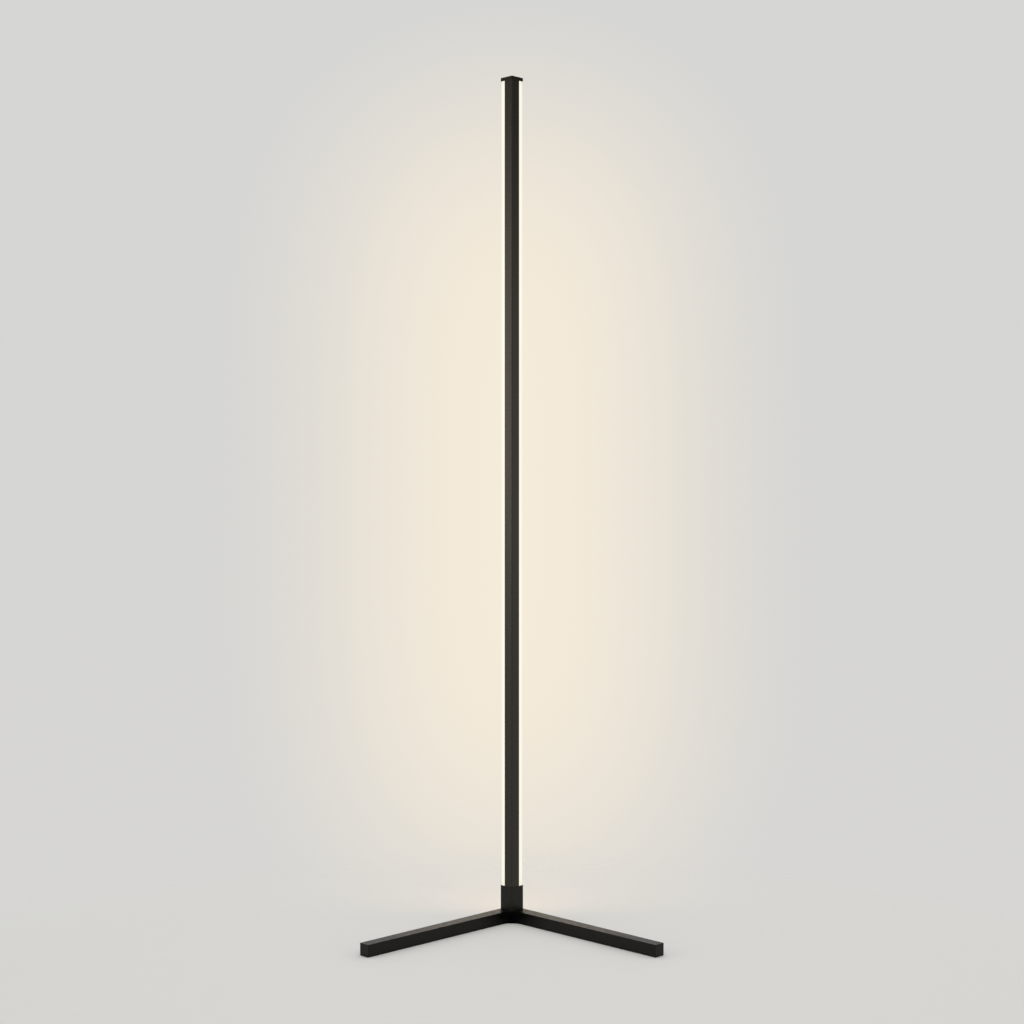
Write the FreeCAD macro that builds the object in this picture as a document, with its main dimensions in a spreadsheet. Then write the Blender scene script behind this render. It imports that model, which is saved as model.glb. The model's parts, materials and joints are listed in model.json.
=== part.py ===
import FreeCAD, Part

import math
import os

import Sketcher

# Corner floor lamp: a square light column that stands with one corner to the room, on a V-shaped foot.
#
# Frame: millimetres, +Z up. The origin lies on the floor under the axis of the column. The viewer
# stands at -Y, the corner of the room is at +Y, and the legs of the foot run to -X-Y and +X-Y.
# Pieces that follow the square section are drawn in a turned frame: its X runs along the left leg,
# its Y along the right leg, and the corner of the square that faces the viewer is at (+X, +Y).

DRIVING_SIZES = [
    ("lamp_height", 1400.0, "floor to the top of the cap"),
    # foot
    ("leg_length", 331.5, "outer length of a leg, from the rear corner of the foot to its tip"),
    ("leg_root_width", 23.0, "width of a leg where it meets the rear corner"),
    ("leg_tip_width", 19.1, "width of a leg at its tip"),
    ("leg_depth", 19.5, "thickness of the foot"),
    ("inner_corner_radius", 22.5, "radius between the legs, on the viewer's side"),
    ("foot_edge_round", 0.4, "radius of the foot's edges"),
    ("pad_thickness", 1.0, "soft pads, let into the underside of the foot"),
    ("pad_stand", 0.3, "what the pads lift the foot off the floor"),
    ("pad_margin", 1.2, "bare metal round each pad"),
    ("leg_pad_length", 40.0, "length of the pads at the tips"),
    ("corner_pad_reach", 18.0, "corner pad, from the column axis along each leg"),
    # bolts between foot and collar
    ("bolt_spacing", 15.0, "centre to centre, across the column"),
    ("bolt_diameter", 4.0, "thread of the foot bolts"),
    ("bolt_length", 25.0, "under the head"),
    ("bolt_head_diameter", 7.0, "cap head"),
    ("bolt_head_depth", 4.0, "cap head"),
    ("bolt_socket", 3.0, "hexagon across flats"),
    ("bolt_socket_depth", 2.0, "depth of the hexagon"),
    ("washer_diameter", 7.2, "outside of a spring washer"),
    ("washer_thickness", 0.9, "spring washer"),
    ("counterbore_depth", 6.5, "recess for a bolt head in the underside of the foot"),
    # collar
    ("collar_side", 26.5, "outside of the square collar"),
    ("collar_height", 39.0, "from the foot to the column"),
    ("collar_wall", 1.5, "side walls"),
    ("collar_web", 4.0, "top wall that carries the column"),
    ("post_diameter", 8.0, "posts in the collar for the foot bolts"),
    ("square_corner_round", 0.5, "upright corners of collar and cap"),
    ("square_edge_round", 0.3, "level edges of collar and cap"),
    ("key_side", 6.0, "square key that holds the rear corner of the cover"),
    ("key_height", 4.0, "how far a key reaches into the column"),
    # column
    ("column_side", 24.9, "outside of the square column"),
    ("wing_width", 16.9, "width of each black face"),
    ("wing_wall", 1.4, "wall of the black extrusion"),
    ("front_corner_round", 1.2, "radius of the corner that faces the viewer"),
    ("bed_depth", 11.2, "from the front corner back to the bed of the light strip"),
    ("groove_gap", 1.1, "width of the groove that holds the cover"),
    ("groove_depth", 1.4, "depth of that groove"),
    ("hook_wall", 0.8, "wall of the hook beside the groove"),
    ("hook_setback", 0.6, "hook tip back from the end of the wing"),
    ("port_inset", 2.4, "screw port centre from the inner face of a wing"),
    ("port_spacing", 6.5, "centre to centre of the two screw ports"),
    ("port_wall", 0.8, "wall round a screw port"),
    ("cover_wall", 1.5, "wall of the opal cover"),
    ("cover_lip", 0.9, "thickness of the lip in the groove"),
    ("cover_shoulder", 1.2, "height of the shoulder that carries the lip"),
    ("cover_corner_round", 1.0, "outer corners of the cover"),
    # cap
    ("cap_side", 26.2, "outside of the square cap"),
    ("cap_thickness", 5.8, "plate of the cap"),
    # screws at both ends of the column
    ("screw_diameter", 3.0, "thread of the column and cap screws"),
    ("screw_head_diameter", 5.5, "heads of the column and cap screws"),
    ("screw_head_depth", 2.2, "pan head of a column screw"),
    ("column_screw_length", 16.0, "under the head"),
    ("cap_screw_length", 12.0, "over all"),
    ("screw_socket", 2.0, "hexagon across flats"),
    ("screw_socket_depth", 1.1, "depth of the hexagon"),
    # light strip
    ("strip_width", 10.0, "light strip"),
    ("tape_thickness", 0.15, "adhesive tape under the strip"),
    ("board_thickness", 0.3, "circuit strip"),
    ("strip_low_gap", 9.0, "bare bed between the collar and the strip"),
    ("strip_top_gap", 6.0, "bare bed between the strip and the cap"),
    ("led_width", 2.8, "across the strip"),
    ("led_length", 3.5, "along the strip"),
    ("led_depth", 0.8, "height on the strip"),
    ("led_pitch", 16.667, "sixty to the metre"),
    ("leds_in_group", 6.0, "LEDs in a row between two resistors"),
    ("resistor_width", 0.8, "across the strip"),
    ("resistor_length", 1.6, "along the strip"),
    ("resistor_depth", 0.5, "height on the strip"),
    ("resistor_offset", 3.2, "from the middle of the strip"),
    # power inlet, in the rear face of the collar that looks to +X+Y
    ("inlet_height", 15.0, "axis above the foot"),
    ("inlet_offset", 3.6, "axis from the middle of the face, towards the side corner"),
    ("inlet_barrel", 8.0, "threaded barrel"),
    ("inlet_barrel_length", 9.5, "behind the collar's face"),
    ("inlet_flange", 10.5, "flange outside the collar"),
    ("inlet_flange_depth", 1.5, "flange outside the collar"),
    ("inlet_bore", 5.6, "bore for the plug"),
    ("inlet_floor", 2.0, "wall at the end of the bore"),
    ("inlet_pin", 2.0, "centre pin"),
    ("inlet_pin_shoulder", 3.2, "shoulder of the pin on the floor of the bore"),
    ("inlet_shoulder_depth", 0.5, "thickness of that shoulder"),
    ("inlet_tail", 1.2, "solder tail of the centre pin"),
    ("tail_length", 2.0, "both tails behind the barrel"),
    ("contact_width", 2.0, "spring contact beside the bore"),
    ("contact_thickness", 0.4, "spring contact"),
    ("contact_offset", 2.35, "contact from the pin's axis"),
    ("nut_width", 11.0, "hexagon across flats"),
    ("nut_thickness", 2.0, "nut inside the collar"),
    # wires and grommet
    ("wire_diameter", 1.2, "over the insulation"),
    ("wire_spacing", 2.2, "centre to centre, in the grommet and on the strip"),
    ("wire_bend", 1.3, "radius of the bends"),
    ("wire_straight", 1.9, "straight run out of a solder tail"),
    ("wire_pad_height", 3.0, "solder pads above the lower end of the strip"),
    ("grommet_offset", 2.0, "grommet centre in front of the column axis"),
    ("grommet_bore", 3.8, "hole for both wires"),
    ("grommet_neck", 4.9, "waist of the grommet, in the web"),
    ("grommet_flange", 6.4, "rims above and below the web"),
    ("grommet_rim", 0.8, "thickness of a rim"),
    # clearances
    ("bolt_clearance", 0.25, "round a bolt in a plain hole, at the radius"),
    ("thread_clearance", 0.05, "between a thread and its hole, at the radius"),
    ("head_clearance", 0.3, "round a bolt head in its recess, at the radius"),
    ("slide_clearance", 0.1, "between pieces that slide into each other"),
]

TURN = -135.0  # of the square section about Z, so that its (+X, +Y) corner faces the viewer
HEX_TURN = 30.0


class Size:
    """A length: its value now, and the text that keeps it tied to the sheet."""

    def __init__(self, value, text):
        self.value = value
        self.text = text

    def __add__(self, other):
        other = as_size(other)
        return Size(self.value + other.value, f"({self.text} + {other.text})")

    def __sub__(self, other):
        other = as_size(other)
        return Size(self.value - other.value, f"({self.text} - {other.text})")

    def __rsub__(self, other):
        return as_size(other) - self

    def __mul__(self, factor):
        factor = as_size(factor)
        return Size(self.value * factor.value, f"({self.text} * {factor.text})")

    def __truediv__(self, divisor):
        divisor = as_size(divisor)
        return Size(self.value / divisor.value, f"({self.text} / {divisor.text})")

    def __neg__(self):
        return Size(-self.value, f"(0 - {self.text})")


def as_size(number):
    return number if isinstance(number, Size) else Size(float(number), f"({float(number)})")


ZERO = Size(0.0, "0")
ROOT_TWO = Size(math.sqrt(2.0), "sqrt(2)")
ROOT_THREE = Size(math.sqrt(3.0), "sqrt(3)")

doc = FreeCAD.newDocument("corner_floor_lamp")
sheet = doc.addObject("Spreadsheet::Sheet", "dims")


class Sizes:
    """Every driving size, by the name it has in the sheet."""


S = Sizes()
for row, (alias, value, note) in enumerate(DRIVING_SIZES, start=1):
    sheet.set(f"A{row}", note)
    sheet.set(f"B{row}", str(value))
    sheet.setAlias(f"B{row}", alias)
    setattr(S, alias, Size(value, f"dims.{alias}"))
doc.recompute()


# ---------------------------------------------------------------- drawing helpers

def tie(thing, prop, size):
    thing.setExpression(prop, size.text)


sub_parts = []


def keep(thing, label):
    """Counts a thing as one of the lamp's pieces, under its own name."""
    thing.Label = label
    sub_parts.append(thing)
    return thing


def new_body(label, x=ZERO, y=ZERO, z=ZERO, turn=0.0):
    body = keep(doc.addObject("PartDesign::Body", label), label)
    place = FreeCAD.Vector(x.value, y.value, z.value)
    body.Placement = FreeCAD.Placement(place, FreeCAD.Rotation(FreeCAD.Vector(0, 0, 1), turn))
    for axis, size in (("x", x), ("y", y), ("z", z)):
        if size is not ZERO:
            tie(body, f"Placement.Base.{axis}", size)
    return body


def sketch_on(body, name, role="XY_Plane", offset=None):
    """A sketch on one of the body's own planes, raised along its normal by the offset."""
    sketch = body.newObject("Sketcher::SketchObject", f"{body.Name}_{name}")
    plane = next(f for f in body.Origin.OriginFeatures if f.Role == role)
    sketch.AttachmentSupport = [(plane, "")]
    sketch.MapMode = "FlatFace"
    if offset is not None:
        sketch.AttachmentOffset = FreeCAD.Placement(FreeCAD.Vector(0, 0, offset.value), FreeCAD.Rotation())
        tie(sketch, "AttachmentOffset.Base.z", offset)
    return sketch


def pin_point(sketch, geometry, point, x, y):
    """Ties one point of a sketch to its two coordinates."""
    for kind, size in (("DistanceX", x), ("DistanceY", y)):
        index = sketch.addConstraint(Sketcher.Constraint(kind, -1, 1, geometry, point, size.value))
        tie(sketch, f"Constraints[{index}]", size)


def outline(sketch, points):
    """A closed outline through points of two sizes each."""
    first = sketch.GeometryCount
    corners = [FreeCAD.Vector(x.value, y.value, 0) for x, y in points]
    count = len(corners)
    for i, corner in enumerate(corners):
        sketch.addGeometry(Part.LineSegment(corner, corners[(i + 1) % count]), False)
    for i in range(count):
        following = first + (i + 1) % count
        sketch.addConstraint(Sketcher.Constraint("Coincident", first + i, 2, following, 1))
    for i, (x, y) in enumerate(points):
        pin_point(sketch, first + i, 1, x, y)


def circle(sketch, x, y, diameter):
    centre = FreeCAD.Vector(x.value, y.value, 0)
    axis = FreeCAD.Vector(0, 0, 1)
    geometry = sketch.addGeometry(Part.Circle(centre, axis, diameter.value / 2), False)
    index = sketch.addConstraint(Sketcher.Constraint("Diameter", geometry, diameter.value))
    tie(sketch, f"Constraints[{index}]", diameter)
    pin_point(sketch, geometry, 3, x, y)


def rectangle(sketch, x0, y0, x1, y1):
    outline(sketch, [(x0, y0), (x1, y0), (x1, y1), (x0, y1)])


def square(sketch, half):
    rectangle(sketch, -half, -half, half, half)


def hexagon(sketch, across_flats):
    """A hexagon about the origin."""
    reach = across_flats / ROOT_THREE
    points = []
    for i in range(6):
        angle = math.radians(HEX_TURN + 60.0 * i)
        points.append((reach * round(math.cos(angle), 9), reach * round(math.sin(angle), 9)))
    outline(sketch, points)


def feature(body, kind, sketch, length, backwards):
    step = body.newObject(f"PartDesign::{kind}", f"{body.Name}_{kind.lower()}")
    step.Profile = sketch
    step.Length = length.value
    tie(step, "Length", length)
    step.Reversed = backwards
    sketch.Visibility = False
    doc.recompute()
    return step


def pad(body, sketch, length, backwards=False):
    return feature(body, "Pad", sketch, length, backwards)


def pocket(body, sketch, length, backwards=False):
    """A cut that has to take something away. It runs against the sketch's normal, or along it."""
    before = body.Shape.Volume
    step = feature(body, "Pocket", sketch, length, backwards)
    if step.Shape.Volume >= before - 1e-6:
        raise RuntimeError(f"{body.Label}: {sketch.Name} cuts nothing")
    return step


def turned(label, half_section, x=ZERO, y=ZERO, z=ZERO):
    """A round piece: a half section of (radius, height) points, turned about its own Z axis."""
    body = new_body(label, x, y, z)
    sketch = sketch_on(body, "half_section", "XZ_Plane")
    outline(sketch, half_section)
    step = body.newObject("PartDesign::Revolution", f"{label}_turned")
    step.Profile = sketch
    step.ReferenceAxis = (sketch, ["V_Axis"])
    step.Angle = 360.0
    doc.recompute()
    return body


def soften(body, kind, size, chosen):
    """Rounds or bevels the edges of the body's last feature that the test picks."""
    base = body.Tip
    names = []
    for number, edge in enumerate(base.Shape.Edges, start=1):
        if chosen(edge):
            names.append(f"Edge{number}")
    step = body.newObject(f"PartDesign::{kind}", f"{body.Name}_{kind.lower()}")
    step.Base = (base, names)
    prop = "Radius" if kind == "Fillet" else "Size"
    setattr(step, prop, size.value)
    tie(step, prop, size)
    doc.recompute()
    return step


def is_upright(edge, x, y):
    """True for the straight edge along Z at (x, y)."""
    ends = [v.Point for v in edge.Vertexes]
    if len(ends) != 2:
        return False
    near = all(math.hypot(p.x - x.value, p.y - y.value) < 0.01 for p in ends)
    return near and abs(ends[0].z - ends[1].z) > 0.01


def is_level(edge, height):
    """True for an edge in the plane at that height."""
    box = edge.BoundBox
    return abs(box.ZMin - height.value) < 0.01 and abs(box.ZMax - height.value) < 0.01


def is_whole_circle(edge):
    return isinstance(edge.Curve, Part.Circle) and edge.isClosed()


def mirrored_points(half):
    """Adds to the points of one side those of the other side of the line X = Y, in reverse."""
    return half + [(y, x) for x, y in reversed(half)]


# ---------------------------------------------------------------- levels and shared places

foot_top = S.pad_stand + S.leg_depth
collar_top = foot_top + S.collar_height
column_top = S.lamp_height - S.cap_thickness
column_length = column_top - collar_top

column_half = S.column_side / 2
collar_half = S.collar_side / 2
cap_half = S.cap_side / 2
wing_end = column_half - S.wing_width
wing_inner = column_half - S.wing_wall

# the bed of the light strip is the plane where X + Y of the turned frame is this sum
bed_sum = S.column_side - S.bed_depth * ROOT_TWO
duct_sum = bed_sum + S.wing_wall * ROOT_TWO

port_far = wing_inner - S.port_inset
port_near = port_far - S.port_spacing / ROOT_TWO
PORTS = [(port_far, port_near), (port_near, port_far)]
port_y = -(port_far + port_near) / ROOT_TWO
port_x = S.port_spacing / 2
port_hole = S.screw_diameter + S.thread_clearance * 2

bolt_reach = S.bolt_spacing / (ROOT_TWO * 2)
BOLTS = [(bolt_reach, -bolt_reach), (-bolt_reach, bolt_reach)]
bolt_grip = S.leg_depth - S.counterbore_depth + S.washer_thickness
bolt_hold = S.bolt_length - bolt_grip


# ---------------------------------------------------------------- foot

def leg_slope():
    """How much narrower a leg gets for each millimetre along it."""
    return (S.leg_root_width - S.leg_tip_width) / S.leg_length


def leg_inner_at(along):
    """Inner face of a leg, across it, at a distance from the rear corner."""
    return S.leg_root_width - leg_slope() * along - collar_half


def corner_pad_outline(grow):
    """Outline of the pad under the rear corner, made larger by grow on each side."""
    low = S.pad_margin - collar_half - grow
    high = leg_inner_at(S.leg_root_width) - S.pad_margin + grow
    reach = S.corner_pad_reach + grow
    return [(low, low), (reach, low), (reach, high), (high, reach), (low, reach)]


def leg_pad_outline(grow):
    """Outline of the pad under the tip of the left leg, made larger by grow on each side."""
    far = S.leg_length - collar_half - S.pad_margin
    near = far - S.leg_pad_length - grow
    low = S.pad_margin - collar_half - grow
    high = S.leg_tip_width - collar_half - S.pad_margin + grow
    return [(near, low), (far + grow, low), (far + grow, high), (near, high)]


def swapped(points):
    """The same outline on the other leg."""
    return [(y, x) for x, y in points]


def make_foot():
    body = new_body("foot_frame", z=S.pad_stand, turn=TURN)
    sketch = sketch_on(body, "plan")
    tip = S.leg_length - collar_half
    # the inner faces taper, so they meet on X = Y where along - collar_half = inner
    crotch = S.leg_root_width / (leg_slope() + 1.0) - collar_half
    half_plan = [(tip, -collar_half), (tip, S.leg_tip_width - collar_half)]
    points = [(-collar_half, -collar_half)] + half_plan + [(crotch, crotch)] + swapped(half_plan[::-1])
    outline(sketch, points)
    pad(body, sketch, S.leg_depth)
    soften(body, "Fillet", S.inner_corner_radius, lambda e: is_upright(e, crotch, crotch))

    def outer_edge(edge):
        upright_ends = [half_plan[0], half_plan[1], points[0]] + swapped(half_plan)
        if any(is_upright(edge, x, y) for x, y in upright_ends):
            return True
        return is_level(edge, ZERO) or is_level(edge, S.leg_depth)

    soften(body, "Fillet", S.foot_edge_round, outer_edge)

    holes = sketch_on(body, "bolt_holes")
    recesses = sketch_on(body, "bolt_recesses")
    for x, y in BOLTS:
        circle(holes, x, y, S.bolt_diameter + S.bolt_clearance * 2)
        circle(recesses, x, y, S.bolt_head_diameter + S.head_clearance * 2)
    pocket(body, holes, S.leg_depth, backwards=True)
    pocket(body, recesses, S.counterbore_depth, backwards=True)

    beds = sketch_on(body, "pad_beds")
    outline(beds, corner_pad_outline(S.slide_clearance))
    outline(beds, leg_pad_outline(S.slide_clearance))
    outline(beds, swapped(leg_pad_outline(S.slide_clearance)))
    pocket(body, beds, S.pad_thickness - S.pad_stand, backwards=True)


def make_pads():
    """Non-slip pads under the rear corner and under both tips, in shallow beds in the foot."""
    body = new_body("corner_pad", turn=TURN)
    sketch = sketch_on(body, "plan")
    outline(sketch, corner_pad_outline(ZERO))
    for x, y in BOLTS:
        circle(sketch, x, y, S.bolt_head_diameter + S.head_clearance * 2)
    pad(body, sketch, S.pad_thickness)

    left = leg_pad_outline(ZERO)
    for label, points in (("left_leg_pad", left), ("right_leg_pad", swapped(left))):
        body = new_body(label, turn=TURN)
        sketch = sketch_on(body, "plan")
        outline(sketch, points)
        pad(body, sketch, S.pad_thickness)


def socket_head(body, sketch_height, across, depth, downwards):
    """Sinks a hexagon socket into a head whose end lies at that height."""
    sketch = sketch_on(body, "socket", offset=sketch_height)
    hexagon(sketch, across)
    pocket(body, sketch, depth, backwards=not downwards)


def make_foot_bolts():
    """Cap screws from below, with spring washers, that hold the collar to the foot."""
    seat = S.pad_stand + S.counterbore_depth
    for side, x in (("left", -S.bolt_spacing / 2), ("right", S.bolt_spacing / 2)):
        head = S.bolt_head_diameter / 2
        shank = S.bolt_diameter / 2
        section = [
            (ZERO, -S.bolt_head_depth),
            (head, -S.bolt_head_depth),
            (head, ZERO),
            (shank, ZERO),
            (shank, S.bolt_length),
            (ZERO, S.bolt_length),
        ]
        bolt = turned(f"foot_bolt_{side}", section, x=x, z=seat - S.washer_thickness)
        socket_head(bolt, -S.bolt_head_depth, S.bolt_socket, S.bolt_socket_depth, downwards=False)
        bore = shank + S.slide_clearance
        rim = S.washer_diameter / 2
        ring = [(bore, -S.washer_thickness), (rim, -S.washer_thickness), (rim, ZERO), (bore, ZERO)]
        turned(f"foot_washer_{side}", ring, x=x, z=seat)


# ---------------------------------------------------------------- collar

def add_key(body, height, length, backwards):
    """The key that stands in the rear corner of the cover."""
    far = -(column_half - S.cover_wall - S.slide_clearance)
    sketch = sketch_on(body, "key", offset=height)
    rectangle(sketch, far, far, far + S.key_side, far + S.key_side)
    pad(body, sketch, length, backwards)


def square_corners(half):
    return [(half, half), (half, -half), (-half, -half), (-half, half)]


def make_collar():
    body = new_body("collar_housing", z=foot_top, turn=TURN)
    plan = sketch_on(body, "plan")
    square(plan, collar_half)
    pad(body, plan, S.collar_height)

    cavity = sketch_on(body, "cavity")
    square(cavity, collar_half - S.collar_wall)
    for x, y in BOLTS:
        circle(cavity, x, y, S.post_diameter)
    pocket(body, cavity, S.collar_height - S.collar_web, backwards=True)

    threads = sketch_on(body, "post_threads")
    for x, y in BOLTS:
        circle(threads, x, y, S.bolt_diameter + S.thread_clearance * 2)
    pocket(body, threads, bolt_hold + S.bolt_diameter / 2, backwards=True)

    web = sketch_on(body, "web_holes", offset=S.collar_height)
    for x, y in PORTS:
        circle(web, x, y, S.screw_diameter + S.bolt_clearance * 2)
    grommet_at = S.grommet_offset / ROOT_TWO
    circle(web, grommet_at, grommet_at, S.grommet_neck + S.slide_clearance * 2)
    pocket(body, web, S.collar_web)

    inlet = sketch_on(body, "inlet_hole", "YZ_Plane", offset=-collar_half)
    circle(inlet, -S.inlet_offset, S.inlet_height, S.inlet_barrel + S.slide_clearance * 2)
    pocket(body, inlet, S.collar_wall, backwards=True)

    corners = square_corners(collar_half)
    soften(body, "Fillet", S.square_corner_round, lambda e: any(is_upright(e, x, y) for x, y in corners))

    def outer_rim(edge):
        return is_level(edge, S.collar_height) and not is_whole_circle(edge)

    soften(body, "Fillet", S.square_edge_round, outer_rim)
    add_key(body, S.collar_height, S.key_height, backwards=False)


def make_grommet():
    """Rubber grommet in the web of the collar, with a rim above it and a rim below it."""
    bore = S.grommet_bore / 2
    neck = S.grommet_neck / 2
    rim = S.grommet_flange / 2
    section = [
        (bore, -S.collar_web - S.grommet_rim),
        (rim, -S.collar_web - S.grommet_rim),
        (rim, -S.collar_web),
        (neck, -S.collar_web),
        (neck, ZERO),
        (rim, ZERO),
        (rim, S.grommet_rim),
        (bore, S.grommet_rim),
    ]
    turned("wire_grommet", section, y=-S.grommet_offset, z=collar_top)


def make_column_screws():
    """Pan-head screws, up from inside the collar into the screw ports of the column."""
    shank = S.screw_diameter / 2
    head = S.screw_head_diameter / 2
    section = [
        (ZERO, -S.screw_head_depth),
        (head, -S.screw_head_depth),
        (head, ZERO),
        (shank, ZERO),
        (shank, S.column_screw_length),
        (ZERO, S.column_screw_length),
    ]
    for side, x in (("left", -port_x), ("right", port_x)):
        screw = turned(f"column_screw_{side}", section, x=x, y=port_y, z=collar_top - S.collar_web)
        socket_head(screw, -S.screw_head_depth, S.screw_socket, S.screw_socket_depth, downwards=False)


# ---------------------------------------------------------------- column

def make_profile():
    """The black extrusion: two wings, the bed across them, hooks for the cover and two screw ports."""
    body = new_body("column_profile", z=collar_top, turn=TURN)
    plan = sketch_on(body, "section")
    hook_outer = wing_inner - S.groove_gap
    hook_inner = hook_outer - S.hook_wall
    mouth = wing_end + S.hook_setback
    groove_end = mouth + S.groove_depth
    half_outline = [
        (column_half, wing_end),
        (wing_inner, wing_end),
        (wing_inner, groove_end),
        (hook_outer, groove_end),
        (hook_outer, mouth),
        (hook_inner, mouth),
        (hook_inner, bed_sum - hook_inner),
    ]
    outline(plan, [(column_half, column_half)] + mirrored_points(half_outline))
    duct_end = duct_sum - wing_inner
    outline(plan, [(wing_inner, duct_end), (wing_inner, wing_inner), (duct_end, wing_inner)])
    pad(body, plan, column_length)

    walls = sketch_on(body, "port_walls")
    holes = sketch_on(body, "port_holes")
    for x, y in PORTS:
        circle(walls, x, y, port_hole + S.port_wall * 2)
        circle(holes, x, y, port_hole)
    pad(body, walls, column_length)
    pocket(body, holes, column_length, backwards=True)
    soften(body, "Fillet", S.front_corner_round, lambda e: is_upright(e, column_half, column_half))


def make_cover():
    """The opal cover: it closes the two rear sides and hooks into both grooves of the extrusion."""
    body = new_body("diffuser_cover", z=collar_top, turn=TURN)
    plan = sketch_on(body, "section")
    seam = wing_end - S.slide_clearance
    lip_outer = wing_inner - S.slide_clearance
    lip_inner = lip_outer - S.cover_lip
    lip_top = wing_end + S.hook_setback + S.groove_depth - S.slide_clearance
    inner = column_half - S.cover_wall
    half_outline = [
        (inner, seam - S.cover_shoulder),
        (lip_inner, seam - S.cover_shoulder),
        (lip_inner, lip_top),
        (lip_outer, lip_top),
        (lip_outer, seam),
        (column_half, seam),
        (column_half, -column_half),
    ]
    outside = half_outline + [(-column_half, -column_half)] + [(y, x) for x, y in reversed(half_outline)]
    outline(plan, outside + [(-inner, inner), (-inner, -inner), (inner, -inner)])
    pad(body, plan, column_length)
    corners = square_corners(column_half)[1:]
    soften(body, "Fillet", S.cover_corner_round, lambda e: any(is_upright(e, x, y) for x, y in corners))


# ---------------------------------------------------------------- cap

def make_cap():
    body = new_body("top_cap", z=column_top, turn=TURN)
    plan = sketch_on(body, "plan")
    square(plan, cap_half)
    pad(body, plan, S.cap_thickness)
    corners = square_corners(cap_half)
    soften(body, "Fillet", S.square_corner_round, lambda e: any(is_upright(e, x, y) for x, y in corners))
    soften(body, "Fillet", S.square_edge_round, lambda e: is_level(e, ZERO) or is_level(e, S.cap_thickness))

    holes = sketch_on(body, "screw_holes")
    for x, y in PORTS:
        circle(holes, x, y, S.screw_diameter + S.bolt_clearance * 2)
    pocket(body, holes, S.cap_thickness, backwards=True)
    countersink = S.screw_head_diameter / 2 - S.screw_diameter / 2 - S.bolt_clearance
    soften(body, "Chamfer", countersink, lambda e: is_whole_circle(e) and is_level(e, S.cap_thickness))
    add_key(body, ZERO, S.key_height, backwards=True)


def make_cap_screws():
    """Countersunk screws, flush with the top of the cap."""
    shank = S.screw_diameter / 2
    head = S.screw_head_diameter / 2
    section = [
        (ZERO, -S.cap_screw_length),
        (shank, -S.cap_screw_length),
        (shank, shank - head),
        (head, ZERO),
        (ZERO, ZERO),
    ]
    for side, x in (("left", -port_x), ("right", port_x)):
        screw = turned(f"cap_screw_{side}", section, x=x, y=port_y, z=S.lamp_height)
        socket_head(screw, ZERO, S.screw_socket, S.screw_socket_depth, downwards=True)


# ---------------------------------------------------------------- light strip

bed_y = -bed_sum / ROOT_TWO
tape_face = bed_y + S.tape_thickness
board_face = tape_face + S.board_thickness
strip_low = collar_top + S.strip_low_gap
strip_length = column_length - S.strip_low_gap - S.strip_top_gap


def block(label, x, y, z, across, deep, tall):
    """A plain block with one face on y; it is centred on x and stands on z."""
    box = doc.addObject("Part::Box", label)
    box.Label = label
    for prop, size in (("Length", across), ("Width", deep), ("Height", tall)):
        setattr(box, prop, size.value)
        tie(box, prop, size)
    corner = (x - across / 2, y, z)
    box.Placement = FreeCAD.Placement(FreeCAD.Vector(*(c.value for c in corner)), FreeCAD.Rotation())
    for axis, size in zip("xyz", corner):
        tie(box, f"Placement.Base.{axis}", size)
    return box


def group(label, pieces):
    """One sub-part of many separate alike pieces."""
    compound = keep(doc.addObject("Part::Compound", label), label)
    compound.Links = pieces


def make_strip():
    tape = block("tape", ZERO, bed_y, strip_low, S.strip_width, S.tape_thickness, strip_length)
    keep(tape, "led_strip_tape")
    board = block("board", ZERO, tape_face, strip_low, S.strip_width, S.board_thickness, strip_length)
    keep(board, "led_strip_board")
    first_led = strip_low + S.wire_pad_height + S.led_pitch / 2
    # the resistor behind the last LED still has to lie on the board
    last_reach = S.led_pitch.value + S.resistor_length.value / 2
    room = strip_length.value - S.wire_pad_height.value - last_reach
    count = int(room / S.led_pitch.value) + 1
    leds = []
    resistors = []
    for i in range(count):
        middle = first_led + S.led_pitch * i
        low = middle - S.led_length / 2
        leds.append(block(f"led_{i + 1}", ZERO, board_face, low, S.led_width, S.led_depth, S.led_length))
        if i % int(S.leds_in_group.value) == 0:
            low = middle + S.led_pitch / 2 - S.resistor_length / 2
            size = (S.resistor_width, S.resistor_depth, S.resistor_length)
            resistors.append(block(f"resistor_{i + 1}", S.resistor_offset, board_face, low, *size))
    group("led_chips", leds)
    group("strip_resistors", resistors)


# ---------------------------------------------------------------- power inlet

inlet_out = FreeCAD.Vector(1, 1, 0).normalize()
inlet_x = (collar_half - S.inlet_offset) / ROOT_TWO
inlet_y = (collar_half + S.inlet_offset) / ROOT_TWO
inlet_z = foot_top + S.inlet_height
tail_end = S.inlet_barrel_length + S.tail_length


def face_outwards(body):
    """Stands a body on the collar's rear face: its Z axis looks out of the face, its Y axis up."""
    up = FreeCAD.Vector(0, 0, 1)
    turn = FreeCAD.Rotation(up.cross(inlet_out), up, inlet_out, "ZYX")
    body.Placement = FreeCAD.Placement(body.Placement.Base, turn)


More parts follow.
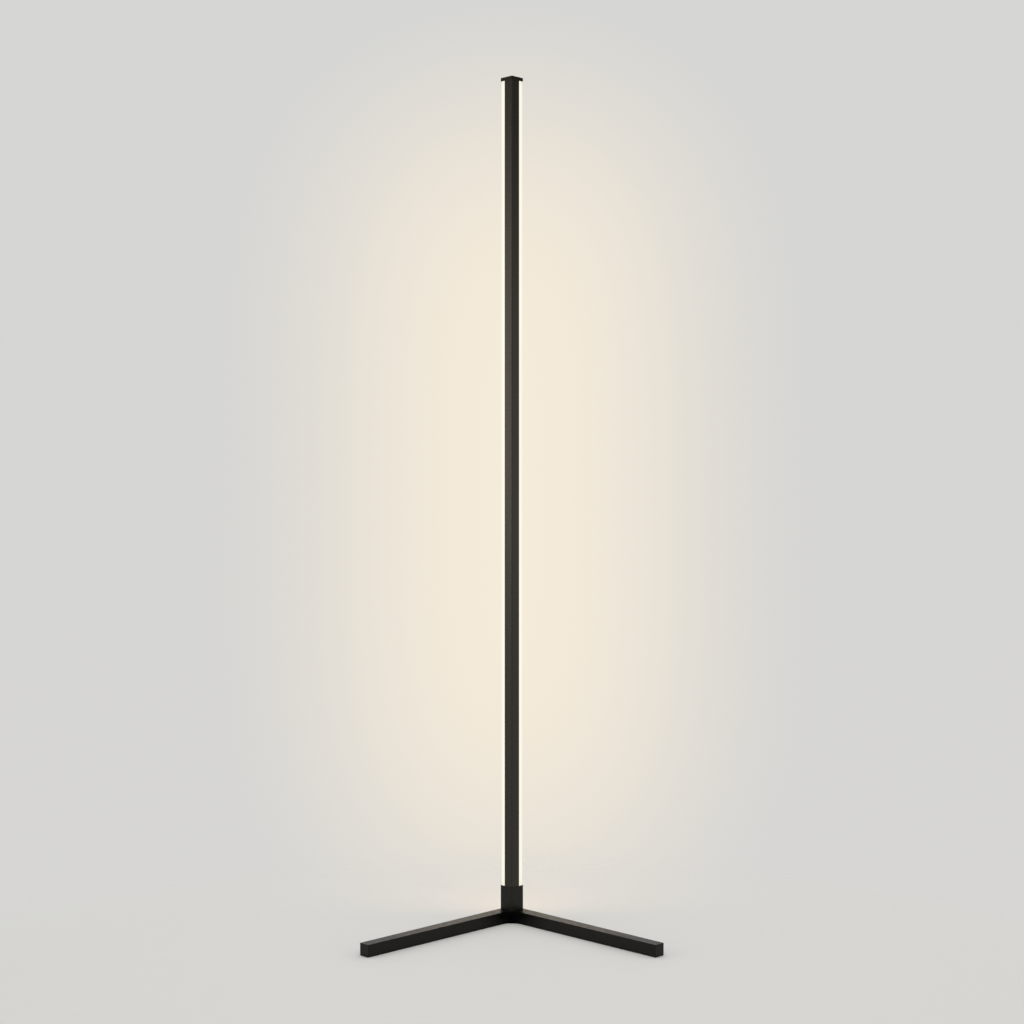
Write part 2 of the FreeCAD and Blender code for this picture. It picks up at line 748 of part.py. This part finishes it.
def make_inlet():
    barrel = S.inlet_barrel / 2
    flange = S.inlet_flange / 2
    bore = S.inlet_bore / 2
    pin = S.inlet_pin / 2
    tail = S.inlet_tail / 2
    bore_end = -S.inlet_barrel_length + S.inlet_floor
    pin_hole = pin + S.thread_clearance

    section = [
        (pin_hole, -S.inlet_barrel_length),
        (barrel, -S.inlet_barrel_length),
        (barrel, ZERO),
        (flange, ZERO),
        (flange, S.inlet_flange_depth),
        (bore, S.inlet_flange_depth),
        (bore, bore_end),
        (pin_hole, bore_end),
    ]
    housing = turned("power_inlet_housing", section, inlet_x, inlet_y, inlet_z)
    face_outwards(housing)
    contact_outer = -S.contact_offset - S.contact_thickness / 2
    contact_inner = contact_outer + S.contact_thickness
    half_contact = S.contact_width / 2
    slot = sketch_on(housing, "contact_slot", offset=-S.inlet_barrel_length)
    half_slot = half_contact + S.thread_clearance
    rectangle(slot, contact_outer, -half_slot, contact_inner + S.thread_clearance, half_slot)
    pocket(housing, slot, S.inlet_floor, backwards=True)

    pin_section = [
        (ZERO, -tail_end),
        (tail, -tail_end),
        (tail, -S.inlet_barrel_length),
        (pin, -S.inlet_barrel_length),
        (pin, bore_end),
        (S.inlet_pin_shoulder / 2, bore_end),
        (S.inlet_pin_shoulder / 2, bore_end + S.inlet_shoulder_depth),
        (pin, bore_end + S.inlet_shoulder_depth),
        (pin, ZERO),
        (ZERO, ZERO),
    ]
    face_outwards(turned("power_inlet_pin", pin_section, inlet_x, inlet_y, inlet_z))

    contact = new_body("power_inlet_contact", inlet_x, inlet_y, inlet_z)
    face_outwards(contact)
    strip = sketch_on(contact, "section", offset=-tail_end)
    rectangle(strip, contact_outer, -half_contact, contact_inner, half_contact)
    pad(contact, strip, tail_end - S.inlet_flange_depth)

    nut = new_body("power_inlet_nut", inlet_x, inlet_y, inlet_z)
    face_outwards(nut)
    plan = sketch_on(nut, "plan", offset=-S.collar_wall - S.nut_thickness)
    hexagon(plan, S.nut_width)
    circle(plan, ZERO, ZERO, S.inlet_barrel + S.thread_clearance * 2)
    pad(nut, plan, S.nut_thickness)


# ---------------------------------------------------------------- wires

def rounded_path(points, radius):
    """Straight runs between the points, with an arc of the radius at each corner."""
    edges = []
    start = points[0]
    for before, corner, after in zip(points, points[1:], points[2:]):
        come = (before - corner).normalize()
        leave = (after - corner).normalize()
        half = come.getAngle(leave) / 2
        back = radius / math.tan(half)
        middle = (come + leave).normalize() * (radius / math.sin(half) - radius)
        enter = corner + come * back
        exit_point = corner + leave * back
        edges.append(Part.LineSegment(start, enter).toShape())
        edges.append(Part.Arc(enter, corner + middle, exit_point).toShape())
        start = exit_point
    edges.append(Part.LineSegment(start, points[-1]).toShape())
    return Part.Wire(edges)


def make_wire(label, side, tail_shift):
    """One insulated wire: from a tail of the inlet, up through the grommet, to the strip.

    It bends in space, so it is swept along its route here. side is -1 or +1 across the column, and
    tail_shift is how far its tail lies beside the inlet's axis.
    """
    inward = inlet_out * -1
    beside = FreeCAD.Vector(1, -1, 0).normalize()
    root = FreeCAD.Vector(inlet_x.value, inlet_y.value, inlet_z.value)
    start = root + inward * tail_end.value + beside * tail_shift.value
    out_of_tail = start + inward * S.wire_straight.value
    web_low = collar_top.value - S.collar_web.value - S.grommet_rim.value
    wire_x = side * S.wire_spacing.value / 2
    solder_z = strip_low.value + S.wire_pad_height.value
    grommet_y = -S.grommet_offset.value
    below = FreeCAD.Vector(wire_x, grommet_y, web_low - S.wire_straight.value)
    above = FreeCAD.Vector(wire_x, grommet_y, solder_z)
    end = FreeCAD.Vector(wire_x, board_face.value, solder_z)
    route = rounded_path([start, out_of_tail, below, above, end], S.wire_bend.value)
    section = Part.Wire(Part.Circle(start, inward, S.wire_diameter.value / 2).toShape())
    solid = route.makePipeShell([section], True, False)
    expected = route.Length * math.pi * (S.wire_diameter.value / 2) ** 2
    if abs(solid.Volume - expected) > 0.02 * expected:
        raise RuntimeError(f"{label}: the swept solid does not have the volume of its route")
    wire = keep(doc.addObject("Part::Feature", label), label)
    wire.Shape = solid
    wire.Placement = FreeCAD.Placement()


# ---------------------------------------------------------------- the lamp

make_foot()
make_pads()
make_foot_bolts()
make_collar()
make_grommet()
make_column_screws()
make_profile()
make_cover()
make_cap()
make_cap_screws()
make_strip()
make_inlet()
make_wire("positive_wire", -1, ZERO)
make_wire("negative_wire", 1, S.contact_offset)
doc.recompute()

for thing in doc.Objects:
    if "Invalid" in thing.State or "Error" in thing.State:
        raise RuntimeError(f"{thing.Label} failed to build")

os.makedirs("parts", exist_ok=True)
for thing in sub_parts:
    shape = thing.Shape
    if shape.isNull() or not shape.isValid():
        raise RuntimeError(f"{thing.Label} has no valid shape")
    shape.exportStep(f"parts/{thing.Label}.step")
    box = shape.BoundBox
    count = len(shape.Solids)
    print(f"{thing.Label}: {count} solids, {shape.Volume:.1f} mm3, z {box.ZMin:.2f} to {box.ZMax:.2f}")
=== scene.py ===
# %% [markdown]
# A corner floor lamp, 1.4 m tall: a slim square light column on a flat V-shaped foot.
# Every solid piece comes from the imported CAD model, which is loaded here as a fixed frame, in metres.
# The lamp stands on z = 0, +Z runs up the column and the camera looks along +Y, into the corner of the room.

# %% Load the frame
import json
import math
import bmesh
import bpy
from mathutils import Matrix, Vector


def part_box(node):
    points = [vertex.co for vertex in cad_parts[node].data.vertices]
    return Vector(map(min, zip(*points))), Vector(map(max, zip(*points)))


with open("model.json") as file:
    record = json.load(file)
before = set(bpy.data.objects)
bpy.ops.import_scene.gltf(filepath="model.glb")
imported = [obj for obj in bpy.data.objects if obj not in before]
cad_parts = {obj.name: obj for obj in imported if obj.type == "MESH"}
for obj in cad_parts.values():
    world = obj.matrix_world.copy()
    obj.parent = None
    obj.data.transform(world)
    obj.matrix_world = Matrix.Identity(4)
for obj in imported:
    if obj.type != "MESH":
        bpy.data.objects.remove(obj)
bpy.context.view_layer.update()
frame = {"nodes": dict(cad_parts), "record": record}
nodes = frame["nodes"]
record = frame["record"]
print("nodes loaded:", len(nodes))

# %% [markdown]
# A material is a small graph of nodes that feeds one shader. Most finishes here need the same few things:
# a pattern in real millimetres, a ramp that turns it into a number or a colour, and a bump.
# One small class keeps those steps short. Object coordinates are the lamp's own metres,
# so a pattern keeps its real size on every piece and stays put when the camera moves.

# %% A helper for node materials
MM = 0.001


class Finish:
    """A material under construction: a Principled shader and the patterns that feed it."""

    def __init__(self, name, **settings):
        self.material = bpy.data.materials.new(name)
        self.material.use_nodes = True
        self.tree = self.material.node_tree
        self.shader = self.tree.nodes["Principled BSDF"]
        self.place = self.add("ShaderNodeTexCoord").outputs["Object"]
        for socket, value in settings.items():
            self.shader.inputs[socket.replace("_", " ")].default_value = value

    def add(self, kind, **options):
        node = self.tree.nodes.new(kind)
        for key, value in options.items():
            setattr(node, key, value)
        return node

    def join(self, source, target):
        self.tree.links.new(source, target)

    def noise(self, size_mm, stretch=(1, 1, 1), detail=3.0):
        """A cloudy pattern whose cells are about size_mm across, times the stretch on each axis."""
        mapping = self.add("ShaderNodeMapping")
        mapping.inputs["Scale"].default_value = [1 / s for s in stretch]
        self.join(self.place, mapping.inputs["Vector"])
        texture = self.add("ShaderNodeTexNoise")
        texture.inputs["Scale"].default_value = 1 / (size_mm * MM)
        texture.inputs["Detail"].default_value = detail
        self.join(mapping.outputs["Vector"], texture.inputs["Vector"])
        return texture.outputs["Fac"]

    def spread(self, value, low, high, out_low=0.0, out_high=1.0):
        """The value between low and high, taken smoothly to the range out_low to out_high."""
        node = self.add("ShaderNodeMapRange", interpolation_type="SMOOTHSTEP")
        limits = {"From Min": low, "From Max": high, "To Min": out_low, "To Max": out_high}
        for socket, number in limits.items():
            node.inputs[socket].default_value = number
        self.join(value, node.inputs["Value"])
        return node.outputs["Result"]

    def calc(self, operation, *items):
        """One step of arithmetic on sockets and plain numbers."""
        node = self.add("ShaderNodeMath", operation=operation)
        for socket, item in zip(node.inputs, items):
            if isinstance(item, (int, float)):
                socket.default_value = item
            else:
                self.join(item, socket)
        return node.outputs["Value"]

    def blend(self, amount, first, second):
        """A colour between first and second. Each is three numbers or another colour's socket."""
        node = self.add("ShaderNodeMix", data_type="RGBA")
        sockets = {socket.identifier: socket for socket in node.inputs}
        self.join(amount, sockets["Factor_Float"])
        for name, colour in (("A_Color", first), ("B_Color", second)):
            if isinstance(colour, tuple):
                sockets[name].default_value = (*colour, 1)
            else:
                self.join(colour, sockets[name])
        return next(socket for socket in node.outputs if socket.identifier == "Result_Color")

    def axis(self, letter):
        """The X, Y or Z coordinate in metres."""
        split = self.add("ShaderNodeSeparateXYZ")
        self.join(self.place, split.inputs["Vector"])
        return split.outputs[letter]

    def feed(self, source, socket):
        self.join(source, self.shader.inputs[socket])

    def bump(self, height, depth_mm, strength=1.0):
        """Raises the surface by the pattern, up to depth_mm."""
        node = self.add("ShaderNodeBump")
        node.inputs["Strength"].default_value = strength
        node.inputs["Distance"].default_value = depth_mm * MM
        self.join(height, node.inputs["Height"])
        if self.shader.inputs["Normal"].is_linked:
            self.join(self.shader.inputs["Normal"].links[0].from_socket, node.inputs["Normal"])
        self.feed(node.outputs["Normal"], "Normal")


finishes = {}
print("finish helper ready")

# %% [markdown]
# The foot is cut bar with a satin black powder coat. The powder melts and flows out before it sets,
# which leaves a very fine orange peel: soft hills a millimetre or so apart and a few hundredths high.
# Its gloss changes a little from place to place. Both come from noise: one feeds the bump, one the roughness.
# The round between the legs is painted almost pure black and its sheen is cut away: painted shade in the
# inner corner.
# Both fade back to the normal coat along the legs.

# %% Powder coat on the foot
INNER_CORNER = (0.0, -23 * MM, 10 * MM)
PAINTED_SHADE_REACH = 78 * MM

coat = Finish("black_foot", Specular_IOR_Level=0.2)
way = coat.add("ShaderNodeVectorMath", operation="DISTANCE")
coat.join(coat.place, way.inputs[0])
way.inputs[1].default_value = INNER_CORNER
# painted shade: towards the inner corner the colour goes almost black and the sheen fades out
beyond_painted_shade = coat.spread(way.outputs["Value"], -5 * MM, PAINTED_SHADE_REACH)
skin = coat.blend(coat.noise(12), (0.0018, 0.0017, 0.0014), (0.0060, 0.0056, 0.0048))
coat.feed(coat.blend(beyond_painted_shade, (0.0006, 0.0006, 0.0005), skin), "Base Color")
coat.feed(coat.blend(beyond_painted_shade, (0.05, 0.05, 0.05), (1.0, 0.96, 0.88)), "Specular Tint")
coat.feed(coat.spread(coat.noise(7.0), 0.3, 0.7, 0.26, 0.40), "Roughness")
coat.bump(coat.noise(1.3, detail=1.5), 0.03, 0.5)
coat.bump(coat.noise(0.25, detail=1.0), 0.006, 0.4)
finishes["black_foot"] = coat.material
print("powder coat:", len(coat.tree.nodes), "nodes")

# %% [markdown]
# The collar is a small casting, sprayed black. Paint over a cast skin is a little smoother and darker
# than powder coat, with longer waves from the mould under it.

# %% Sprayed casting for the collar
spray = Finish("black_collar", Specular_IOR_Level=0.21, Specular_Tint=(1.0, 0.97, 0.84, 1))
spray.feed(spray.blend(spray.noise(9), (0.0050, 0.0049, 0.0038), (0.0075, 0.0073, 0.0058)), "Base Color")
spray.feed(spray.spread(spray.noise(2.2), 0.3, 0.7, 0.33, 0.4), "Roughness")
spray.bump(spray.noise(4.5, detail=1.0), 0.02, 0.4)
spray.bump(spray.noise(0.3, detail=1.0), 0.004, 0.4)
finishes["black_collar"] = spray.material
print("sprayed casting:", len(spray.tree.nodes), "nodes")

# %% [markdown]
# The column's front is an aluminium extrusion, anodised satin black. An extrusion die always leaves
# faint lines along the length, and anodising keeps them. Noise stretched a thousand times longer
# along Z than across gives those lines, in the bump and, more weakly, in the gloss.
# The cap is a small plate with a skin of the same kind. Its lines are short and run across it.

# %% Anodised extrusion, also for the cap
anodised = Finish("black_profile", Specular_IOR_Level=0.36, Specular_Tint=(1.0, 0.93, 0.82, 1))
lines = anodised.noise(0.35, stretch=(1, 1, 1000), detail=2.0)
drift = anodised.noise(30, stretch=(1, 1, 4))
anodised.feed(anodised.blend(drift, (0.0105, 0.0090, 0.0064), (0.0135, 0.0118, 0.0088)), "Base Color")
anodised.feed(anodised.spread(lines, 0.3, 0.7, 0.34, 0.42), "Roughness")
anodised.bump(lines, 0.012, 0.35)
anodised.bump(anodised.noise(0.12, detail=1.0), 0.003, 0.3)
finishes["black_profile"] = anodised.material

cap = Finish("black_cap", Specular_IOR_Level=0.26, Specular_Tint=(1.0, 0.91, 0.74, 1))
short_lines = cap.noise(0.3, stretch=(40, 1, 1), detail=2.0)
cap.feed(cap.blend(cap.noise(8), (0.0060, 0.0052, 0.0034), (0.0080, 0.0070, 0.0046)), "Base Color")
cap.feed(cap.spread(short_lines, 0.3, 0.7, 0.36, 0.44), "Roughness")
cap.bump(short_lines, 0.008, 0.3)
finishes["black_cap"] = cap.material
print("anodised parts: profile and cap")

# %% [markdown]
# The cover is opal plastic, 1.5 mm thick, lit from inside. Opal plastic is full of tiny particles
# that spread the light, so no single LED shows and the cover glows all over. It is brightest at the two
# side strips, a little dimmer on the rear faces, and it falls off over the last 15 mm or so at each end,
# where the LED strip stops. The glow is an emission, and its level follows Y and Z.

# %% Opal cover
SIDE_LEVEL = 0.915
REAR_LEVEL = 0.79
END_LEVEL = 0.93

opal = Finish("opal_cover", Base_Color=(0.11, 0.108, 0.1, 1), Roughness=0.42, Specular_IOR_Level=0.12)
low_end, high_end = (corner.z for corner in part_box("led_strip_board"))
across = opal.spread(opal.axis("Y"), -6 * MM, 4 * MM, SIDE_LEVEL, REAR_LEVEL)
up_end = opal.spread(opal.axis("Z"), low_end - 9 * MM, low_end + 6 * MM, END_LEVEL, 1.0)
down_end = opal.spread(opal.axis("Z"), high_end - 6 * MM, high_end + 8 * MM, 1.0, END_LEVEL)
cloud = opal.spread(opal.noise(60, stretch=(1, 1, 2)), 0.3, 0.7, 0.985, 1.015)
ends = opal.calc("MULTIPLY", up_end, down_end)
level = opal.calc("MULTIPLY", opal.calc("MULTIPLY", across, cloud), ends)
opal.feed(opal.blend(opal.noise(90), (1.0, 0.945, 0.80), (1.0, 0.955, 0.82)), "Emission Color")
opal.feed(level, "Emission Strength")
opal.bump(opal.noise(0.4, stretch=(1, 1, 30), detail=1.0), 0.006, 0.3)
finishes["opal_cover"] = opal.material
print("opal cover glows from z =", round(low_end, 3), "to", round(high_end, 3))

# %% [markdown]
# Rubber is matte and never even: dust and skin oil lighten it in patches, and it has a fine pitted skin.

# %% Rubber pads and grommet
for slot, dark, pit in (("pad_rubber", 0.022, 0.5), ("grommet_rubber", 0.016, 0.25)):
    rubber = Finish(slot, Specular_IOR_Level=0.3)
    rubber.feed(rubber.blend(rubber.noise(4), (dark,) * 3, (dark * 1.7,) * 3), "Base Color")
    rubber.feed(rubber.spread(rubber.noise(1.5), 0.3, 0.7, 0.75, 0.92), "Roughness")
    rubber.bump(rubber.noise(pit, detail=2.0), 0.05, 0.5)
    finishes[slot] = rubber.material
print("rubber: pads and grommet")

# %% [markdown]
# Screws, contacts and the nut are plain metal with different skins: black oxide, bright zinc, tin and
# nickel. They share a recipe. What changes is the colour, how rough it is, and how far the colour drifts.

# %% Metal skins
METALS = {
    "black_screw": ((0.030, 0.030, 0.033), (0.048, 0.046, 0.046), 0.30, 0.42),
    "zinc_screw": ((0.55, 0.56, 0.57), (0.70, 0.69, 0.66), 0.22, 0.36),
    "contact_metal": ((0.66, 0.63, 0.56), (0.76, 0.74, 0.69), 0.18, 0.32),
    "nut_metal": ((0.56, 0.54, 0.50), (0.66, 0.64, 0.60), 0.20, 0.30),
}
for slot, (dull, bright, fine, coarse) in METALS.items():
    metal = Finish(slot, Metallic=1.0)
    metal.feed(metal.blend(metal.noise(1.2), dull, bright), "Base Color")
    metal.feed(metal.spread(metal.noise(0.5), 0.3, 0.7, fine, coarse), "Roughness")
    metal.bump(metal.noise(0.2, stretch=(1, 1, 0.3)), 0.01, 0.3)
    finishes[slot] = metal.material
print("metal skins:", ", ".join(METALS))

# %% [markdown]
# Inside sits a common LED strip: a flexible board with white solder mask on clear tape, small LEDs with
# a yellow phosphor window that shines, and black chip resistors. None of it shows once the cover is on,
# but the part can be taken apart, so each piece has its own finish.

# %% The light strip
mask = Finish("strip_board", Specular_IOR_Level=0.5)
mask.feed(mask.blend(mask.noise(2.5), (0.82, 0.82, 0.79), (0.88, 0.88, 0.86)), "Base Color")
mask.feed(mask.spread(mask.noise(1.0), 0.3, 0.7, 0.3, 0.42), "Roughness")
mask.bump(mask.noise(0.6, stretch=(1, 1, 3)), 0.02, 0.4)
finishes["strip_board"] = mask.material

tape = Finish("strip_tape", Specular_IOR_Level=0.5)
tape.feed(tape.blend(tape.noise(3.0), (0.74, 0.75, 0.74), (0.82, 0.82, 0.80)), "Base Color")
tape.feed(tape.spread(tape.noise(0.8), 0.3, 0.7, 0.45, 0.6), "Roughness")
tape.bump(tape.noise(0.8), 0.02, 0.4)
finishes["strip_tape"] = tape.material

phosphor = Finish("led_phosphor", Roughness=0.5)
phosphor.feed(phosphor.blend(phosphor.noise(0.7), (0.92, 0.80, 0.34), (0.95, 0.86, 0.50)), "Base Color")
phosphor.feed(phosphor.blend(phosphor.noise(0.7), (1.0, 0.88, 0.66), (1.0, 0.92, 0.74)), "Emission Color")
phosphor.feed(phosphor.spread(phosphor.noise(0.9), 0.3, 0.7, 1.6, 2.0), "Emission Strength")
finishes["led_phosphor"] = phosphor.material

chip = Finish("resistor_black", Specular_IOR_Level=0.5)
chip.feed(chip.blend(chip.noise(0.6), (0.020, 0.020, 0.021), (0.034, 0.034, 0.035)), "Base Color")
chip.feed(chip.spread(chip.noise(0.3), 0.3, 0.7, 0.38, 0.55), "Roughness")
chip.bump(chip.noise(0.15), 0.01, 0.4)
finishes["resistor_black"] = chip.material
print("strip: board, tape, LEDs, resistors")

# %% [markdown]
# The power inlet is moulded black plastic with a spark-eroded skin, and its wires have soft PVC insulation.

# %% Inlet and wires
PLASTICS = {
    "inlet_plastic": ((0.014, 0.014, 0.0145), (0.022, 0.022, 0.0225), 0.42, 0.56),
    "wire_red": ((0.42, 0.020, 0.018), (0.52, 0.035, 0.030), 0.34, 0.48),
    "wire_black": ((0.016, 0.016, 0.016), (0.026, 0.026, 0.026), 0.34, 0.48),
}
for slot, (deep, pale, fine, coarse) in PLASTICS.items():
    plastic = Finish(slot, Specular_IOR_Level=0.45)
    plastic.feed(plastic.blend(plastic.noise(2.0), deep, pale), "Base Color")
    plastic.feed(plastic.spread(plastic.noise(0.8), 0.3, 0.7, fine, coarse), "Roughness")
    plastic.bump(plastic.noise(0.18, detail=1.0), 0.01, 0.4)
    finishes[slot] = plastic.material
print("plastics:", ", ".join(PLASTICS))

# %% [markdown]
# The record says which slot each node takes its finish from, so the finishes go on by that list
# and no node can be forgotten.

# %% Put the finishes on
for entry in record["subparts"]:
    piece = nodes[entry["node"]]
    for holder in piece.material_slots:
        holder.material = finishes[entry["material_slot"]]
print("dressed nodes:", len(record["subparts"]))

# %% [markdown]
# The camera stands where the photograph was taken from. Its distance, height, pitch and lens were solved
# from the corners of the cap, the collar and the foot: 2.86 m away and 0.73 m up, looking down by
# 0.92 degrees through a 60 mm lens on a 36 mm wide frame. No shift is needed. The Standard view transform
# shows each colour as it is written, with no film curve on top.

# %% Camera
CAMERA_PLACE = (0.0002, -2.8556, 0.7270)
LOOK_DOWN = 0.0160
FRAME_WIDTH_MM = 36.0
LENS_MM = 60.38

eye = bpy.data.objects.new("camera", bpy.data.cameras.new("camera"))
bpy.context.scene.collection.objects.link(eye)
eye.data.sensor_width = FRAME_WIDTH_MM
eye.data.lens = LENS_MM
eye.location = CAMERA_PLACE
eye.rotation_euler = (math.pi / 2 - LOOK_DOWN, 0.0, 0.0)
bpy.context.scene.camera = eye
bpy.context.scene.view_settings.view_transform = "Standard"
print("camera at", tuple(round(v, 3) for v in eye.location))

# %% [markdown]
# The lamp stands on a pale studio floor that runs into a pale backdrop with no edge between them.
# The floor is a disc that is solid round the lamp and turns clear towards its rim, and the world behind it
# has the same pale grey, so no horizon shows from any side. The disc reaches further to the front.

# %% Floor
FLOOR_CENTRE = -0.75
FLOOR_OPAQUE = 0.75
FLOOR_RIM = 1.4

mesh = bpy.data.meshes.new("studio_floor")
shape = bmesh.new()
bmesh.ops.create_circle(shape, cap_ends=True, segments=128, radius=FLOOR_RIM)
shape.to_mesh(mesh)
shape.free()
floor = bpy.data.objects.new("studio_floor", mesh)
floor.location = (0.0, FLOOR_CENTRE, 0.0)
bpy.context.scene.collection.objects.link(floor)

paper = Finish("studio_paper", Specular_IOR_Level=0.1)
paper.feed(paper.blend(paper.noise(40), (0.718, 0.711, 0.680), (0.728, 0.721, 0.690)), "Base Color")
paper.feed(paper.spread(paper.noise(5), 0.3, 0.7, 0.85, 0.95), "Roughness")
reach = paper.add("ShaderNodeVectorMath", operation="LENGTH")
paper.join(paper.place, reach.inputs[0])
clear = paper.add("ShaderNodeBsdfTransparent")
fade = paper.add("ShaderNodeMixShader")
paper.join(paper.spread(reach.outputs["Value"], FLOOR_OPAQUE, FLOOR_RIM), fade.inputs[0])
paper.join(paper.shader.outputs["BSDF"], fade.inputs[1])
paper.join(clear.outputs["BSDF"], fade.inputs[2])
paper.join(fade.outputs["Shader"], paper.tree.nodes["Material Output"].inputs["Surface"])
mesh.materials.append(paper.material)
print("floor is solid to", FLOOR_OPAQUE, "m and clear from", FLOOR_RIM, "m")

# %% [markdown]
# The backdrop is the world itself. What the camera and shiny surfaces see is a pale grey, a touch lighter
# low down, with a warm upright glow behind the column, as the lamp throws on a wall close behind it.
# The glow is a tall oval in the directions behind the lamp: nearly even along most of the column,
# and falling off smoothly to the sides and past the ends. Its half sizes are slopes: how far a direction
# goes to the side, or up, for each metre ahead.
# The light that the world gives to everything else is plain and even.

# %% World
GLOW_HALF_WIDTH = 0.1865
GLOW_HALF_HEIGHT = 0.300
GLOW_DROP = 0.0042
GLOW_COLOUR = (0.918, 0.831, 0.697)
LOW_GREY = (0.677, 0.672, 0.657)
HIGH_GREY = (0.669, 0.669, 0.657)
EVEN_COLOUR = (0.985, 0.99, 1.0, 1)
EVEN_STRENGTH = 0.77

world = bpy.data.worlds.new("studio")
bpy.context.scene.world = world
world.use_nodes = True
world.node_tree.nodes.clear()


class Sky(Finish):
    """The same short calls, for the world's nodes."""

    def __init__(self, tree):
        self.tree = tree
        self.place = self.add("ShaderNodeTexCoord").outputs["Generated"]


sky = Sky(world.node_tree)
ahead = sky.calc("MAXIMUM", sky.axis("Y"), 0.05)
side = sky.calc("DIVIDE", sky.axis("X"), ahead)
rise = sky.calc("DIVIDE", sky.axis("Z"), ahead)
side_share = sky.calc("DIVIDE", side, GLOW_HALF_WIDTH)
rise_share = sky.calc("DIVIDE", sky.calc("ADD", rise, GLOW_DROP), GLOW_HALF_HEIGHT)
wide = sky.calc("POWER", sky.calc("ABSOLUTE", side_share), 2)
tall = sky.calc("POWER", sky.calc("ABSOLUTE", rise_share), 4)
away = sky.calc("SQRT", sky.calc("ADD", wide, tall))
glow = sky.calc("MULTIPLY", sky.spread(away, 0.0, 1.0, 1.0, 0.0), sky.spread(sky.axis("Y"), 0.3, 0.8))
grey = sky.blend(sky.spread(sky.axis("Z"), -0.3, 0.3), LOW_GREY, HIGH_GREY)
shown = sky.add("ShaderNodeBackground")
sky.join(sky.blend(glow, grey, GLOW_COLOUR), shown.inputs["Color"])
even = sky.add("ShaderNodeBackground")
even.inputs["Color"].default_value = EVEN_COLOUR
even.inputs["Strength"].default_value = EVEN_STRENGTH
path = sky.add("ShaderNodeLightPath")
shiny = sky.calc("MAXIMUM", path.outputs["Is Glossy Ray"], path.outputs["Is Transmission Ray"])
seen = sky.calc("MAXIMUM", path.outputs["Is Camera Ray"], shiny)
pick = sky.add("ShaderNodeMixShader")
sky.join(seen, pick.inputs[0])
sky.join(even.outputs["Background"], pick.inputs[1])
sky.join(shown.outputs["Background"], pick.inputs[2])
sky.join(pick.outputs["Shader"], sky.add("ShaderNodeOutputWorld").inputs["Surface"])
print("world nodes:", len(world.node_tree.nodes))

# %% [markdown]
# Three soft boxes light the studio. One overhead gives the floor its soft shadow. One on each side, above
# the middle of the column, gives the satin black faces their long soft sheen, brighter on the left.
# Two more stand for the lamp's own light: what it throws on the floor behind it, and what the wall close
# behind it throws back, which warms the tops of the legs.

# %% Lights
WARM_WHITE = (1.0, 0.93, 0.82)
LAMP_WARM = (1.0, 0.63, 0.32)
WALL_WARM = (1.0, 0.72, 0.40)
SIDE_SPREAD = 50


def soft_box(name, location, target, size, watts, colour=(1.0, 1.0, 1.0), spread=180):
    """A rectangular area light that faces a target and isn't itself seen."""
    data = bpy.data.lights.new(name, "AREA")
    data.shape = "RECTANGLE"
    data.size, data.size_y = size
    data.energy = watts
    data.color = colour
    data.spread = math.radians(spread)
    light = bpy.data.objects.new(name, data)
    light.location = location
    aim = Vector(target) - Vector(location)
    light.rotation_euler = aim.to_track_quat("-Z", "Y").to_euler()
    light.visible_camera = False
    bpy.context.scene.collection.objects.link(light)
    return light


soft_box("overhead", (0.0, -0.5, 3.2), (0.0, -0.1, 0.0), (2.4, 2.4), 20)
soft_box("left_box", (-2.2, -0.3, 1.08), (0.0, 0.0, 1.03), (0.9, 1.1), 1.09, WARM_WHITE, SIDE_SPREAD)
soft_box("right_box", (2.2, -0.3, 1.0), (0.0, 0.0, 0.9), (0.9, 1.2), 0.22, WARM_WHITE, SIDE_SPREAD)
soft_box("lamp_spill", (0.0, 0.03, 0.72), (0.0, 1.0, 0.72), (0.03, 1.3), 0.85, LAMP_WARM)
soft_box("wall_return", (0.0, 0.9, 0.62), (0.0, 0.0, 0.62), (0.42, 1.1), 0.42, WALL_WARM)
print("lights:", len(bpy.data.lights))

# %% [markdown]
# Satin black shows whatever stands round it. In the photograph the upper end of the column is nearly black,
# because the studio is dark high up on both sides. Photographers get this with flags: black cards
# that stand where only reflections reach them, out of the picture and clear of the light.

# %% Flags
FLAG_DISTANCE = 2.45
FLAG_HEIGHT = 2.45
FLAG_STRETCH = 1.3

for name, hand in (("left_flag", -1), ("right_flag", 1)):
    card = bpy.data.meshes.new(name)
    shape = bmesh.new()
    bmesh.ops.create_grid(shape, x_segments=12, y_segments=12, size=1.0)
    shape.to_mesh(card)
    shape.free()
    flag = bpy.data.objects.new(name, card)
    flag.location = (hand * FLAG_DISTANCE, -0.1, FLAG_HEIGHT)
    flag.rotation_euler = (0.0, math.pi / 2, 0.0)
    flag.scale = (1.0, FLAG_STRETCH, 1.0)
    bpy.context.scene.collection.objects.link(flag)
    felt = Finish(name, Specular_IOR_Level=0.1)
    felt.feed(felt.blend(felt.noise(30), (0.008, 0.008, 0.008), (0.014, 0.014, 0.014)), "Base Color")
    felt.feed(felt.spread(felt.noise(4), 0.3, 0.7, 0.85, 0.95), "Roughness")
    card.materials.append(felt.material)
    for ray in ("camera", "diffuse", "shadow", "transmission"):
        setattr(flag, f"visible_{ray}", False)
print("flags", FLAG_DISTANCE, "m to the left and to the right")
